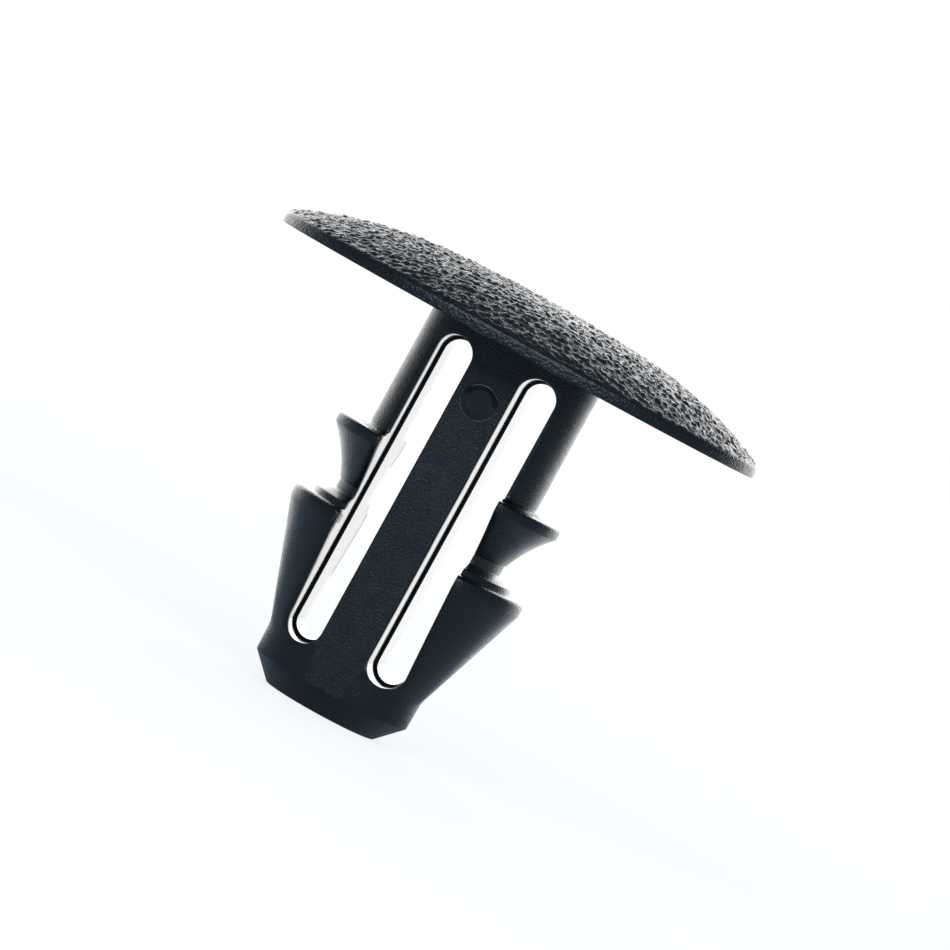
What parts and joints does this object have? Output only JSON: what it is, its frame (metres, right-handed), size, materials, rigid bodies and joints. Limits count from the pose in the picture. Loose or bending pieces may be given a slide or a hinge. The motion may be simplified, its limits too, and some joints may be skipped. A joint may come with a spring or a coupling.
{
  "type": "plastic push rivet",
  "caption": "One-piece push rivet for trim panels: shallow domed head, slotted shank with two barbs on each springy leg and a tapered tip, pushed by hand into a round hole",
  "frame": {"origin": "on the axis, in the plane where the head's rim seats on the panel", "axes": "+Z along the axis out of the head's crown, the shank points to -Z; the slots pass through along Y, and the two barbed legs are at -X and +X"},
  "size_m": [0.025, 0.025, 0.022],
  "materials": {
    "nylon": "black moulded nylon, smooth shank, grained dome"
  },
  "bodies": {
    "root": {"push_rivet": "nylon"}
  },
  "joints": []
}
